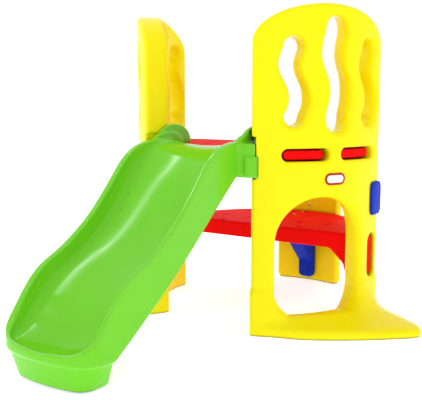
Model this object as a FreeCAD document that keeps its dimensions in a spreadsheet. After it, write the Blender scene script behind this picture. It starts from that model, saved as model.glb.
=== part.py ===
import FreeCAD, Part
import math
import os
from FreeCAD import Placement, Rotation, Vector

# Toddler climber with a wavy slide. Millimetres and degrees.
# X runs across the slide, Y from the slide's lip towards the back wall, Z up from the floor.
# The two tall walls are curved slabs. Each is drawn about its own arc centre, with its middle on +X
# and its near edge (the slide side) at a negative arc position, then turned into place.

DOC = FreeCAD.newDocument("climber")
SHEET = DOC.addObject("Spreadsheet::Sheet", "Sizes")

SIZES = {
    "tower_y": 395.0,
    "wall_turn": 28.5,
    "wall_centre_shift": -35.0,
    "wall_inner": 460.0,
    "wall_outer": 554.0,
    "wall_half_angle": 31.5,
    "wall_height": 1220.0,
    "wall_arch_start": 1080.0,
    "skin": 3.5,
    "slot_half_width": 40.0,
    "middle_slot_half_width": 48.0,
    "crawl_middle": -26.0,
    "crawl_half_width": 188.0,
    "crawl_spring": 345.0,
    "crawl_top": 513.0,
    "crawl_sill": 72.0,
    "crawl_corner": 56.0,
    "oval_middle_z": 673.0,
    "oval_half_height": 23.5,
    "oval_half_length": 97.0,
    "oval_near": -97.0,
    "oval_far": 149.0,
    "upright_middle": 249.0,
    "upright_z": 265.0,
    "upright_half_width": 35.0,
    "upright_half_height": 88.0,
    "tab_gap": 2.5,
    "tab_inner": 440.0,
    "tab_outer": 540.0,
    "notch_low": 590.0,
    "notch_high": 741.0,
    "notch_depth": 15.0,
    "hook_low": 593.0,
    "hook_height": 76.0,
    "hook_inner": 450.0,
    "hook_outer": 564.0,
    "hook_reach": 33.0,
    "grip_low": 423.0,
    "grip_height": 135.0,
    "grip_reach": 80.0,
    "grip_wrap": 12.0,
    "fit_gap": 1.5,
    "back_inner": 457.0,
    "back_outer": 497.0,
    "back_half_angle": 20.0,
    "back_height": 620.0,
    "back_arch_start": 540.0,
    "deck_lens": 457.0,
    "deck_rear": 454.0,
    "upper_top": 700.0,
    "upper_depth": 50.0,
    "upper_front": 391.0,
    "lower_top": 343.0,
    "lower_depth": 66.0,
    "lower_front": 30.0,
    "plate": 6.0,
    "drain_radius": 5.0,
    "bracket_width": 75.0,
    "slide_half_width": 204.5,
    "slide_rail": 38.0,
    "slide_skin": 4.5,
    "slide_drop": 8.0,
    "slide_rear": 395.0,
    "slide_lip": 1286.0,
    "ear_width": 16.5,
    "badge_middle": 22.0,
    "badge_z": 582.0,
    "badge_half_length": 46.0,
    "badge_half_height": 22.5,
    "badge_rim": 8.0,
    "badge_thickness": 2.5,
    "screw_head_radius": 6.0,
    "screw_head_height": 3.5,
    "screw_radius": 2.5,
    "screw_length": 18.0,
    "screw_hole_radius": 2.6,
}

# Wavy slot centre lines: arc position and height, bottom to top.
SHORT_WAVE = [(-1, 816), (13, 842), (20, 872), (17, 902), (4, 935), (-13, 965), (-22, 1005), (-16, 1032),
              (-4, 1062)]
TALL_WAVE = [(0, 802), (3, 832), (15, 870), (18, 905), (12, 945), (-8, 990), (-20, 1026), (-19, 1070), (-4, 1130)]
SLOTS = {"near_slot": (-145, SHORT_WAVE, "slot_half_width"),
         "middle_slot": (34, TALL_WAVE, "middle_slot_half_width"),
         "far_slot": (207, SHORT_WAVE, "slot_half_width")}

# Outrigger foot on the floor: radius and angle from the near edge round the toe to the far edge.
FOOT_EDGE = [(557, -31.5), (566, -27), (580, -22), (606, -16.5), (640, -9), (678, -1), (738, 8.5),
             (790, 15.2), (812, 18.8), (798, 21.4), (758, 23.6), (691, 26.8), (612, 29.9), (557, 31.5)]
# Height of each foot section and the share of the outreach left at that height.
FOOT_LEVELS = [(0, 0.985), (6, 1.0), (24, 0.99), (34, 0.9), (50, 0.52), (78, 0.2), (130, 0.02)]
# The same for the hollow inside the foot, which is also pulled in from the foot's ends.
FOOT_HOLLOW_LEVELS = [(4, 0.92), (24, 0.9), (31, 0.78), (46, 0.4), (66, 0.1)]
FOOT_HOLLOW_PULL = 3.0
FOOT_HOLLOW_TURN = 0.96
FOOT_BACK = 40.0

# Slide side curves: distance forward of the tower's centre, and height, top end first.
CREST = [(-395, 717), (-480, 722), (-530, 717), (-600, 697), (-660, 660), (-720, 598),
         (-780, 533), (-850, 466), (-930, 408), (-1010, 362), (-1080, 328), (-1130, 286),
         (-1175, 232), (-1215, 180), (-1255, 142), (-1290, 118)]
BED = [(-380, 699), (-450, 697), (-500, 685), (-560, 648), (-620, 592), (-680, 525),
       (-750, 452), (-820, 392), (-900, 338), (-980, 294), (-1040, 258), (-1100, 206),
       (-1150, 157), (-1200, 123), (-1250, 109), (-1300, 108)]
SKIRT = [(-1290, 93), (-1146, 93), (-1076, 139), (-937, 236), (-798, 341), (-658, 459),
         (-493, 595), (-395, 594)]

# Where the ribs run under each deck, across X.
UPPER_RIBS = (-220, 0, 220)
LOWER_RIBS = (-180, -60, 60, 180)

# Drain holes in the lower deck, behind the tower's centre; the side ones are mirrored.
DRAINS = [(192, 2), (132, 116), (260, 135), (248, 306), (84, 292)]
DRAINS_MIDDLE = [(0, 235), (0, 425)]


def fill_sheet():
    for row, (name, size) in enumerate(SIZES.items(), start=1):
        SHEET.set("A%d" % row, name)
        SHEET.set("B%d" % row, str(size))
        SHEET.setAlias("B%d" % row, name)
    DOC.recompute()


def get(name):
    return float(SHEET.get(name))


def turned(x, y, z, angle):
    return Placement(Vector(x, y, z), Rotation(Vector(0, 0, 1), angle))


def wall_place(hand):
    turn = -get("wall_turn") if hand > 0 else 180 + get("wall_turn")
    shift = get("wall_centre_shift")
    x = shift * math.cos(math.radians(turn))
    y = shift * math.sin(math.radians(turn))
    return turned(x, y, 0, turn)


def tower_place():
    return turned(0, get("tower_y"), 0, 0)


def arc_angle(distance):
    """Angle in degrees of an arc length measured on the wall's outer face."""
    return math.degrees(distance / get("wall_outer"))


# ---------------------------------------------------------------- building blocks

def cylinder(name, radius, height, low=0.0, x=0.0, y=0.0):
    solid = DOC.addObject("Part::Cylinder", name)
    solid.setExpression("Radius", radius)
    solid.setExpression("Height", height)
    solid.Placement = turned(x, y, low, 0)
    return solid


def box(name, low, high):
    solid = DOC.addObject("Part::Box", name)
    solid.Length = high[0] - low[0]
    solid.Width = high[1] - low[1]
    solid.Height = high[2] - low[2]
    solid.Placement = Placement(Vector(*low), Rotation())
    return solid


def fuse(name, parts):
    whole = DOC.addObject("Part::MultiFuse", name)
    whole.Shapes = parts
    return whole


def common(name, parts):
    shared = DOC.addObject("Part::MultiCommon", name)
    shared.Shapes = parts
    return shared


def cut(name, base, tools):
    result = DOC.addObject("Part::Cut", name)
    result.Base = base
    result.Tool = tools[0] if len(tools) == 1 else fuse(name + "_tools", tools)
    return result


def sector(name, inner, outer, start, end, low, high):
    """Curved slab between two radii, two angles and two heights."""
    disc = DOC.addObject("Part::Cylinder", name + "_disc")
    disc.setExpression("Radius", outer)
    disc.Height = high - low
    disc.Angle = end - start
    disc.Placement = turned(0, 0, low, start)
    core = cylinder(name + "_core", inner, "%f" % (high - low + 2), low - 1)
    return cut(name, disc, [core])


def run_edge(points):
    if len(points) == 2:
        return Part.makeLine(points[0], points[1])
    curve = Part.BSplineCurve()
    curve.interpolate(points)
    return curve.toShape()


def wire_from_runs(runs):
    return Part.Wire([run_edge(run) for run in runs])


def radial_wire(distance, runs):
    """Closed wire in the plane X = distance, from (arc position, height) runs."""
    placed = []
    for run in runs:
        placed.append([Vector(distance, distance * math.tan(math.radians(arc_angle(s))), z) for s, z in run])
    return wire_from_runs(placed)


def loft(name, wires):
    sections = []
    for index, wire in enumerate(wires):
        section = DOC.addObject("Part::Feature", "%s_section_%d" % (name, index))
        section.Shape = wire
        sections.append(section)
    solid = DOC.addObject("Part::Loft", name)
    solid.Sections = sections
    solid.Solid = True
    solid.Ruled = True
    return solid


def radial_prism(name, runs, near=360.0, far=620.0):
    """Solid whose sides all run along radii from the arc centre."""
    return loft(name, [radial_wire(near, runs), radial_wire(far, runs)])


def profile_prism(name, runs, low_x, high_x):
    """A side profile in the Y-Z plane, drawn out along X."""
    face = DOC.addObject("Part::Feature", name + "_profile")
    face.Shape = Part.Face(wire_from_runs([[Vector(low_x, y, z) for y, z in run] for run in runs]))
    solid = DOC.addObject("Part::Extrusion", name)
    solid.Base = face
    solid.Dir = Vector(1, 0, 0)
    solid.LengthFwd = high_x - low_x
    return solid


def plan_prism(name, points, low, high):
    """A closed plan outline drawn up along Z; the front is a smooth curve, the rear is straight."""
    face = DOC.addObject("Part::Feature", name + "_plan")
    face.Shape = Part.Face(wire_from_runs([[Vector(x, y, low) for x, y in run] for run in points]))
    solid = DOC.addObject("Part::Extrusion", name)
    solid.Base = face
    solid.Dir = Vector(0, 0, 1)
    solid.LengthFwd = high - low
    return solid


# ---------------------------------------------------------------- outlines

def ellipse_points(x, z, half_width, height, start, end, count=13):
    step = (end - start) / (count - 1)
    angles = [math.radians(start + step * i) for i in range(count)]
    return [(x + half_width * math.cos(a), z + height * math.sin(a)) for a in angles]


def arch_runs(half, foot, start, top):
    roof = ellipse_points(0, start, half, top - start, 0, 180, 17)
    return [[(-half, foot), (half, foot)], [(half, foot), roof[0]], roof, [roof[-1], (-half, foot)]]


def crawl_runs(hand, grow=0.0):
    middle = get("crawl_middle")
    half = get("crawl_half_width") + grow
    sill = get("crawl_sill") - grow
    corner = get("crawl_corner")
    spring = get("crawl_spring")
    rise = get("crawl_top") + grow - spring
    roof = ellipse_points(middle, spring, half, rise, 0, 180)
    low_right = [(middle + half - corner, sill), (middle + half - corner * 0.25, sill + corner * 0.35),
                 (middle + half, sill + corner * 1.3)]
    low_left = [(middle - half, sill + corner * 1.3), (middle - half + corner * 0.25, sill + corner * 0.35),
                (middle - half + corner, sill)]
    runs = [low_right, [low_right[-1], roof[0]], roof, [roof[-1], low_left[0]], low_left,
            [low_left[-1], low_right[0]]]
    return handed(runs, hand)


def stadium_runs(hand, middle, z, half_length, half_height):
    """Long rounded slot, lying along the arc when longer than high, otherwise upright."""
    if half_length >= half_height:
        reach = half_length - half_height
        right = ellipse_points(middle + reach, z, half_height, half_height, -90, 90, 9)
        left = ellipse_points(middle - reach, z, half_height, half_height, 90, 270, 9)
    else:
        reach = half_height - half_length
        right = ellipse_points(middle, z + reach, half_length, half_length, 0, 180, 9)
        left = ellipse_points(middle, z - reach, half_length, half_length, 180, 360, 9)
    return handed([right, [right[-1], left[0]], left, [left[-1], right[0]]], hand)


def wave_runs(hand, middle, wave, half):
    left = [(middle + s - half, z) for s, z in wave]
    right = [(middle + s + half, z) for s, z in wave]
    top = ellipse_points(middle + wave[-1][0], wave[-1][1], half, half, 0, 180, 9)
    bottom = ellipse_points(middle + wave[0][0], wave[0][1], half, half, 180, 360, 9)
    return handed([right, top, left[::-1], bottom], hand)


def handed(runs, hand):
    return [[(hand * s, z) for s, z in run] for run in runs]


# ---------------------------------------------------------------- tall walls

def polar(radius, angle, z):
    return Vector(radius * math.cos(math.radians(angle)), radius * math.sin(math.radians(angle)), z)


def foot_wire(hand, z, share, pull=0.0, turn=1.0):
    """One level section of the foot: its outer edge, then back along the wall's own curve."""
    outer = get("wall_outer")
    edge = [(outer - pull + (radius - outer) * share, hand * angle * turn) for radius, angle in FOOT_EDGE]
    inner = outer - FOOT_BACK
    angles = [edge[-1][1] * (1 - i / 6.0) for i in range(13)]
    back = [(inner, a) for a in angles]
    runs = [edge, [edge[-1], back[0]], back, [back[-1], edge[0]]]
    return wire_from_runs([[polar(radius, angle, z) for radius, angle in run] for run in runs])


def openings(name, hand, grow):
    """Cutters for every opening in a tall wall, grown by an amount for the hollow inside."""
    cutters = []
    for slot, (middle, wave, half) in SLOTS.items():
        cutters.append(radial_prism("%s_%s" % (name, slot), wave_runs(hand, middle, wave, get(half) + grow)))
    cutters.append(radial_prism(name + "_crawl", crawl_runs(hand, grow), 300.0, 980.0))
    for label in ("oval_near", "oval_far"):
        runs = stadium_runs(hand, get(label), get("oval_middle_z"), get("oval_half_length") + grow,
                            get("oval_half_height") + grow)
        cutters.append(radial_prism("%s_%s" % (name, label), runs))
    runs = stadium_runs(hand, get("upright_middle"), get("upright_z"), get("upright_half_width") + grow,
                        get("upright_half_height") + grow)
    cutters.append(radial_prism(name + "_upright", runs, 300.0, 700.0))
    edge = get("wall_half_angle")
    depth = arc_angle(get("notch_depth") + grow)
    start, end = sorted((-hand * (edge + 3), -hand * (edge - depth)))
    cutters.append(sector(name + "_notch", "300", "700", start, end, get("notch_low") - grow,
                          get("notch_high") + grow))
    return cutters


def tall_wall(node, hand):
    edge = get("wall_half_angle")
    half_arc = math.radians(edge) * get("wall_outer")
    skin = get("skin")
    height = get("wall_height")
    slab = sector(node + "_slab", "Sizes.wall_inner", "Sizes.wall_outer", -edge, edge, 0, height)
    roof = radial_prism(node + "_arch", arch_runs(half_arc + 0.5, -50, get("wall_arch_start"), height))
    arched = common(node + "_arched", [slab, roof])
    foot = loft(node + "_foot", [foot_wire(hand, z, share) for z, share in FOOT_LEVELS])
    blank = fuse(node + "_blank", [arched, foot])
    inset = math.degrees(skin / get("wall_inner"))
    void_slab = sector(node + "_void_slab", "Sizes.wall_inner + Sizes.skin", "Sizes.wall_outer - Sizes.skin",
                       -edge + inset, edge - inset, skin, height - skin)
    void_runs = arch_runs(half_arc, -50, get("wall_arch_start") - skin, height - skin)
    void_roof = radial_prism(node + "_void_arch", void_runs)
    void_whole = common(node + "_void_whole", [void_slab, void_roof])
    void = cut(node + "_void", void_whole, openings(node + "_grown", hand, skin))
    foot_void = loft(node + "_foot_void", [foot_wire(hand, z, share, FOOT_HOLLOW_PULL, FOOT_HOLLOW_TURN)
                                           for z, share in FOOT_HOLLOW_LEVELS])
    hollow = cut(node + "_hollow", blank, [void, foot_void])
    cutters = openings(node + "_open", hand, 0.0) + wall_screw_holes(node, hand)
    wall = cut(node, hollow, cutters)
    wall.Placement = tower_place() * wall_place(hand)
    return wall


# ---------------------------------------------------------------- screws

def screw_place(point, direction):
    """Puts the head's seat at a point, with the shank running along a direction."""
    return Placement(Vector(*point), Rotation(Vector(0, 0, 1), Vector(*direction)))


def screw(name, place):
    low = -get("screw_head_height")
    head = cylinder(name + "_head", "Sizes.screw_head_radius", "Sizes.screw_head_height", low)
    dome = DOC.addObject("Part::Fillet", name + "_dome")
    dome.Base = head
    DOC.recompute()
    rim = [i + 1 for i, e in enumerate(head.Shape.Edges) if e.Closed and e.CenterOfMass.z < -1]
    dome.Edges = [(i, 2.0, 2.0) for i in rim]
    shank = cylinder(name + "_shank", "Sizes.screw_radius", "Sizes.screw_length")
    whole = fuse(name, [dome, shank])
    whole.Placement = place
    return whole


def drill(name, place):
    hole = cylinder(name, "Sizes.screw_hole_radius", "Sizes.screw_length + 2")
    hole.Placement = place
    return hole


def radial_seat(radius, angle, z):
    a = math.radians(angle)
    return screw_place((radius * math.cos(a), radius * math.sin(a), z), (math.cos(a), math.sin(a), 0))


def hook_seat(hand):
    middle = get("hook_low") + get("hook_height") / 2
    return radial_seat(get("hook_inner"), -hand * (get("wall_half_angle") - arc_angle(24)), middle)


def grip_seats(hand):
    low = get("grip_low")
    angle = hand * (get("wall_half_angle") - arc_angle(get("grip_reach") / 2))
    return [radial_seat(get("hook_inner"), angle, low + 32), radial_seat(get("hook_inner"), angle, low + 103)]


def wall_screw_holes(node, hand):
    seats = [hook_seat(hand)] + grip_seats(hand)
    return [drill("%s_drill_%d" % (node, i), seat) for i, seat in enumerate(seats)]


def deck_lock_seats():
    return [screw_place((x, -get("upper_front") + get("plate"), 670), (0, -1, 0)) for x in (-120, 120)]


def bracket_seats():
    return [screw_place((0, 449, z), (0, 1, 0)) for z in (48, 84)]


def back_wall_seat():
    return screw_place((0, get("back_inner"), 371), (0, 1, 0))


def lower_deck_seats():
    return [screw_place((0, y, get("lower_top")), (0, 0, -1)) for y in (310, 395)]


def screw_group(node, placed):
    screws = []
    for index, place in enumerate(placed):
        screws.append(screw("%s_%d" % (node, index), place))
    group = DOC.addObject("Part::Compound", node)
    group.Links = screws
    group.Placement = tower_place()
    return group


# ---------------------------------------------------------------- low back wall

def back_wall(node):
    edge = get("back_half_angle")
    skin = get("skin")
    height = get("back_height")
    slab = sector(node + "_slab", "Sizes.back_inner", "Sizes.back_outer", -edge, edge, 0, height)
    half_arc = math.radians(edge) * get("wall_outer")
    roof_runs = arch_runs(half_arc + 0.5, -50, get("back_arch_start"), height)
    roof = radial_prism(node + "_arch", roof_runs, 300.0, 600.0)
    blank = common(node + "_blank", [slab, roof])
    inset = math.degrees(skin / get("back_inner"))
    void_slab = sector(node + "_void_slab", "Sizes.back_inner + Sizes.skin", "Sizes.back_outer - Sizes.skin",
                       -edge + inset, edge - inset, skin, height - skin)
    void_runs = arch_runs(half_arc, -50, get("back_arch_start") - skin, height - skin)
    void_roof = radial_prism(node + "_void_arch", void_runs, 300.0, 600.0)
    void = common(node + "_void", [void_slab, void_roof])
    holes = []
    for index, seat in enumerate(bracket_seats() + [back_wall_seat()]):
        holes.append(drill("%s_drill_%d" % (node, index), turned(0, 0, 0, -90) * seat))
    wall = cut(node, blank, [void] + holes)
    wall.Placement = turned(0, get("tower_y"), 0, 90)
    return wall


# ---------------------------------------------------------------- decks

def lens(name, radius, low, height, grow=0.0):
    """The room between the two tall walls, seen from above."""
    discs = []
    for hand in (1, -1):
        base = wall_place(hand).Base
        limit = "%s - %f" % (radius, grow)
        discs.append(cylinder("%s_%d" % (name, hand + 1), limit, str(height), low, base.x, base.y))
    return discs


def tab(name, hand, runs, inner, outer):
    prism = radial_prism(name + "_prism", runs)
    ring = sector(name + "_ring", inner, outer, -40, 40, 100, 760)
    piece = common(name, [prism, ring])
    piece.Placement = wall_place(hand)
    return piece


def oval_tabs(node):
    tabs = []
    gap = get("tab_gap")
    for hand in (1, -1):
        for label in ("oval_near", "oval_far"):
            runs = stadium_runs(hand, get(label), get("oval_middle_z"), get("oval_half_length") - gap,
                                get("oval_half_height") - gap)
            name = "%s_%s_%d" % (node, label, hand + 1)
            tabs.append(tab(name, hand, runs, "Sizes.tab_inner", "Sizes.tab_outer"))
    return tabs


def upper_deck(node):
    top = get("upper_top")
    depth = get("upper_depth")
    low = top - depth
    front = -get("upper_front")
    plate = get("plate")
    room = box(node + "_room", (-500, front, low), (500, 0, top))
    body = common(node + "_body", lens(node + "_lens", "Sizes.deck_lens", low, depth) + [room])
    under = box(node + "_under", (-500, front + plate, low - 1), (500, -plate, top - plate))
    room_in = lens(node + "_inner", "Sizes.deck_lens", low - 1, depth - plate + 1, plate + 2)
    hollow = common(node + "_hollow", room_in + [under])
    ribs = []
    for x in UPPER_RIBS:
        ribs.append(box("%s_rib_%d" % (node, x + 300), (x - 3, front + 1, low + 12), (x + 3, -1, top - 1)))
    tray = cut(node + "_tray", body, [hollow])
    whole = fuse(node + "_whole", [tray] + ribs + oval_tabs(node))
    holes = [drill("%s_drill_%d" % (node, i), seat) for i, seat in enumerate(deck_lock_seats())]
    deck = cut(node, whole, holes)
    deck.Placement = tower_place()
    return deck


def end_gusset(name, hand):
    """Sloping end of the skirt that runs down to the upright tab."""
    outline = [(350, 276), (440, 190), (440, 330), (350, 330)]
    corners = [Vector(hand * x, -get("lower_front"), z) for x, z in outline]
    face = DOC.addObject("Part::Feature", name + "_profile")
    face.Shape = Part.Face(Part.makePolygon(corners + [corners[0]]))
    solid = DOC.addObject("Part::Extrusion", name + "_raw")
    solid.Base = face
    solid.Dir = Vector(0, 1, 0)
    solid.LengthFwd = 56
    return common(name, [solid] + lens(name + "_lens", "Sizes.deck_lens", 100, 300))


def lower_deck(node):
    top = get("lower_top")
    depth = get("lower_depth")
    low = top - depth
    front = -get("lower_front")
    plate = get("plate")
    room = box(node + "_room", (-500, front, low), (500, 500, top))
    rear = cylinder(node + "_rear", "Sizes.deck_rear", str(depth), low)
    body = common(node + "_body", lens(node + "_lens", "Sizes.deck_lens", low, depth) + [room, rear])
    under = box(node + "_under", (-500, front + plate, low - 1), (500, 500, top - plate))
    rear_in = cylinder(node + "_rear_in", "Sizes.deck_rear - Sizes.plate", str(depth - plate + 1), low - 1)
    room_in = lens(node + "_inner", "Sizes.deck_lens", low - 1, depth - plate + 1, plate)
    hollow = common(node + "_hollow", room_in + [under, rear_in])
    tray = cut(node + "_tray", body, [hollow])
    pieces = [tray]
    gap = get("tab_gap")
    for hand in (1, -1):
        runs = stadium_runs(hand, get("upright_middle"), get("upright_z"), get("upright_half_width") - gap,
                            get("upright_half_height") - gap)
        pieces.append(tab("%s_tab_%d" % (node, hand + 1), hand, runs, "Sizes.tab_inner", "Sizes.tab_outer"))
        pieces.append(end_gusset("%s_gusset_%d" % (node, hand + 1), hand))
    for x in LOWER_RIBS:
        pieces.append(box("%s_rib_%d" % (node, x + 300), (x - 3, front + 1, low + 14), (x + 3, 380, top - 1)))
    whole = fuse(node + "_whole", pieces)
    holes = []
    spots = DRAINS_MIDDLE + DRAINS + [(-x, y) for x, y in DRAINS]
    for index, (x, y) in enumerate(spots):
        holes.append(cylinder("%s_drain_%d" % (node, index), "Sizes.drain_radius", "200", 200, x, y))
    holes += [drill("%s_drill_%d" % (node, i), seat) for i, seat in enumerate(lower_deck_seats())]
    deck = cut(node, whole, holes)
    deck.Placement = tower_place()
    return deck


# ---------------------------------------------------------------- blue parts

def back_bracket(node):
    half = get("bracket_width") / 2
    points = [(456, 40), (456, 273), (440, 273), (440, 337), (270, 337), (270, 258), (425, 103), (425, 40)]
    foot = ellipse_points(440.5, 40, 15.5, 20, 180, 360, 9)
    runs = [foot]
    for start, end in zip(points[:-1], points[1:]):
        runs.append([start, end])
    raw = profile_prism(node + "_raw", runs, -half, half)
    round_back = cylinder(node + "_back", "Sizes.back_inner - 0.3", "400", 0)
    body = common(node + "_body", [raw, round_back])
    holes = []
    for index, seat in enumerate(bracket_seats()):
        bore = cylinder("%s_bore_%d" % (node, index), "Sizes.screw_head_radius + 1", "40")
        bore.Placement = seat * turned(0, 0, -40, 0)
        holes += [bore, drill("%s_drill_%d" % (node, index), seat)]
    holes += [drill("%s_top_drill_%d" % (node, i), seat) for i, seat in enumerate(lower_deck_seats())]
    bracket = cut(node, body, holes)
    bracket.Placement = tower_place()
    return bracket


def clip(name, hand, edge_sign, reach, wrap, low, height, edge_gap):
    """A C-shaped clip over one upright edge of a tall wall."""
    edge = get("wall_half_angle") - arc_angle(edge_gap)
    side = hand * edge_sign
    start, end = sorted((side * (edge + arc_angle(wrap)), side * (edge - arc_angle(reach))))
    block = sector(name + "_block", "Sizes.hook_inner", "Sizes.hook_outer", start, end, low, low + height)
    start, end = sorted((side * (edge + arc_angle(get("fit_gap"))), side * (edge - arc_angle(reach + 60))))
    throat = sector(name + "_throat", "Sizes.wall_inner - Sizes.fit_gap", "Sizes.wall_outer + Sizes.fit_gap",
                    start, end, low - 5, low + height + 5)
    return cut(name + "_clip", block, [throat])


def edge_grip(node, hand):
    raw = clip(node, hand, 1, get("grip_reach"), get("grip_wrap"), get("grip_low"), get("grip_height"), 0.0)
    holes = [drill("%s_drill_%d" % (node, i), seat) for i, seat in enumerate(grip_seats(hand))]
    grip = cut(node, raw, holes)
    grip.Placement = tower_place() * wall_place(hand)
    return grip


# ---------------------------------------------------------------- badge

def badge_plate(name, half_length, half_height, inner, outer):
    runs = stadium_runs(1, get("badge_middle"), get("badge_z"), half_length, half_height)
    prism = radial_prism(name + "_prism", runs)
    ring = sector(name + "_ring", "%f" % inner, "%f" % outer, -20, 20, 500, 700)
    return common(name + "_plate", [prism, ring])


def badge_border(node):
    outer = get("wall_outer")
    thick = get("badge_thickness")
    rim = get("badge_rim")
    plate = badge_plate(node, get("badge_half_length"), get("badge_half_height"), outer, outer + thick)
    pocket = badge_plate(node + "_pocket", get("badge_half_length") - rim, get("badge_half_height") - rim,
                         outer + thick / 2, outer + thick + 5)
    border = cut(node, plate, [pocket])
    border.Placement = tower_place() * wall_place(1)
    return border


def badge_face(node):
    outer = get("wall_outer")
    thick = get("badge_thickness")
    rim = get("badge_rim") + 0.2
    half_length = get("badge_half_length") - rim
    half_height = get("badge_half_height") - rim
    plate = badge_plate(node, half_length, half_height, outer + thick / 2, outer + thick)
    face = fuse(node, [plate, badge_plate(node + "_core", 20.0, 8.0, outer + thick / 2, outer + thick)])
    face.Placement = tower_place() * wall_place(1)
    return face


# ---------------------------------------------------------------- slide

def plan_runs(half, lip, rear, bow=34.0, corner=80.0):
    """Plan of the slide's front end: straight sides, round corners and a bowed lip."""
    front = [(half, -lip + corner + bow), (half * 0.985, -lip + corner * 0.55 + bow * 0.6),
             (half * 0.86, -lip + bow), (half * 0.5, -lip + bow * 0.3), (0, -lip)]
    curve = front + [(-x, y) for x, y in front[-2::-1]]
    return [curve, [curve[-1], (-half, rear)], [(-half, rear), (half, rear)], [(half, rear), curve[0]]]


def closed_below(curve, low):
    first = curve[0]
    last = curve[-1]
    return [curve, [last, (last[0], low)], [(last[0], low), (first[0], low)], [(first[0], low), first]]


def slide_blank(node, half):
    skirt = [CREST[-1]] + SKIRT + [CREST[0]]
    runs = [CREST]
    for start, end in zip(skirt[:-1], skirt[1:]):
        runs.append([start, end])
    side = profile_prism(node + "_side", runs, -half, half)
    plan = plan_prism(node + "_plan", plan_runs(half, get("slide_lip"), -300), -50, 900)
    return common(node + "_blank", [side, plan])


def slide_channel(node, half):
    rail = get("slide_rail")
    channel = profile_prism(node + "_channel_side", closed_below(BED, 950), -(half - rail), half - rail)
    plan_in = plan_runs(half - rail, get("slide_lip") - 16, -300, 26.0, 70.0)
    plan = plan_prism(node + "_channel_plan", plan_in, 50, 960)
    return common(node + "_channel", [channel, plan])


def slide_hollow(node, half):
    skin = get("slide_skin")
    drop = get("slide_drop")
    rail = get("slide_rail")
    below_bed = closed_below([(y, z - drop) for y, z in BED], -60)
    under_bed = profile_prism(node + "_under_bed", below_bed, -half + skin, half - skin)
    below = closed_below([(y, z - drop) for y, z in CREST], -60)
    right = profile_prism(node + "_under_right", below, half - rail + skin, half - skin)
    left = profile_prism(node + "_under_left", below, -half + skin, -half + rail - skin)
    plan_in = plan_runs(half - skin, get("slide_lip") - skin, -get("slide_rear") - skin)
    plan = plan_prism(node + "_hollow_plan", plan_in, -70, 900)
    hollow = fuse(node + "_hollow_sides", [under_bed, right, left])
    return common(node + "_hollow", [hollow, plan])


def foot_section(half, front, rear, z):
    runs = plan_runs(half, front, rear, 26.0, 80.0)
    return wire_from_runs([[Vector(x, y, z) for x, y in run] for run in runs])


def slide_foot(node, inset):
    high = 100.0 if inset else 97.0
    wires = [foot_section(146 - inset, 1250 - inset, -1126 - inset, inset),
             foot_section(156 - inset, 1259 - inset, -1127 - inset, inset + 10),
             foot_section(201 - inset, 1283 - inset, -1146 - inset, high)]
    return loft(node + ("_foot_void" if inset else "_foot"), wires)


def slide_ear(node, hand, half):
    width = get("ear_width")
    roof = ellipse_points(-372, 702, 130, 76, 0, 180, 17)
    outline = [roof[-1], (roof[-1][0], 694), (-396, 694), (-396, 702), roof[0]]
    runs = [roof] + [[start, end] for start, end in zip(outline[:-1], outline[1:])]
    low, high = sorted((hand * (half - width), hand * half))
    return profile_prism("%s_ear_%d" % (node, hand + 1), runs, low, high)


def slide_hook(node, hand):
    low = get("hook_low")
    height = get("hook_height")
    reach = get("hook_reach") - get("notch_depth")
    name = "%s_hook_%d" % (node, hand + 1)
    hook = clip(name, hand, -1, reach, 18.0, low, height, get("notch_depth"))
    hook.Placement = wall_place(hand)
    inner, outer = sorted((hand * 197, hand * 232))
    arm = box(name + "_arm", (inner, -466, low), (outer, -424, get("notch_high") - 3))
    return [hook, arm]


def slide(node):
    half = get("slide_half_width")
    cutters = [slide_channel(node, half), slide_hollow(node, half)]
    shell = cut(node + "_shell", slide_blank(node, half), cutters)
    foot = cut(node + "_foot_shell", slide_foot(node, 0.0), [slide_foot(node, get("slide_skin"))])
    fittings = [foot]
    for hand in (1, -1):
        fittings.append(slide_ear(node, hand, half))
        fittings += slide_hook(node, hand)
    whole = fuse(node + "_whole", [shell] + fittings)
    holes = []
    for hand in (1, -1):
        holes.append(drill("%s_hook_drill_%d" % (node, hand + 1), wall_place(hand) * hook_seat(hand)))
    holes += [drill("%s_sill_drill_%d" % (node, i), seat) for i, seat in enumerate(deck_lock_seats())]
    body = cut(node, whole, holes)
    body.Placement = tower_place()
    return body


# ---------------------------------------------------------------- assembly

def build():
    hook_screws = [wall_place(hand) * hook_seat(hand) for hand in (1, -1)]
    grip_screws = [wall_place(hand) * seat for hand in (1, -1) for seat in grip_seats(hand)]
    nodes = [
        slide("slide"),
        tall_wall("right_wall", 1),
        tall_wall("left_wall", -1),
        back_wall("back_wall"),
        upper_deck("upper_deck"),
        lower_deck("lower_deck"),
        back_bracket("back_bracket"),
        edge_grip("right_edge_grip", 1),
        edge_grip("left_edge_grip", -1),
        badge_border("badge_border"),
        badge_face("badge_face"),
        screw_group("slide_screws", hook_screws),
        screw_group("upper_deck_screws", deck_lock_seats()),
        screw_group("lower_deck_screws", lower_deck_seats()),
        screw_group("bracket_screws", bracket_seats()),
        screw_group("back_wall_screw", [back_wall_seat()]),
        screw_group("grip_screws", grip_screws),
    ]
    DOC.recompute()
    return nodes


def check(nodes):
    for thing in DOC.Objects:
        if "Invalid" in thing.State or "Error" in thing.State:
            raise RuntimeError("%s did not rebuild" % thing.Name)
    for node in nodes:
        if node.Shape.isNull() or not node.Shape.isValid():
            raise RuntimeError("%s has no valid shape" % node.Name)


def export(nodes):
    os.makedirs("parts", exist_ok=True)
    for node in nodes:
        node.Label = node.Name
        node.Shape.exportStep("parts/%s.step" % node.Label)
        solids = len(node.Shape.Solids)
        print("%-20s solids %d, %.0f cubic centimetres" % (node.Label, solids, node.Shape.Volume / 1000.0))


fill_sheet()
ALL_NODES = build()
check(ALL_NODES)
export(ALL_NODES)
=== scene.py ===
import functools
import math

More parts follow.
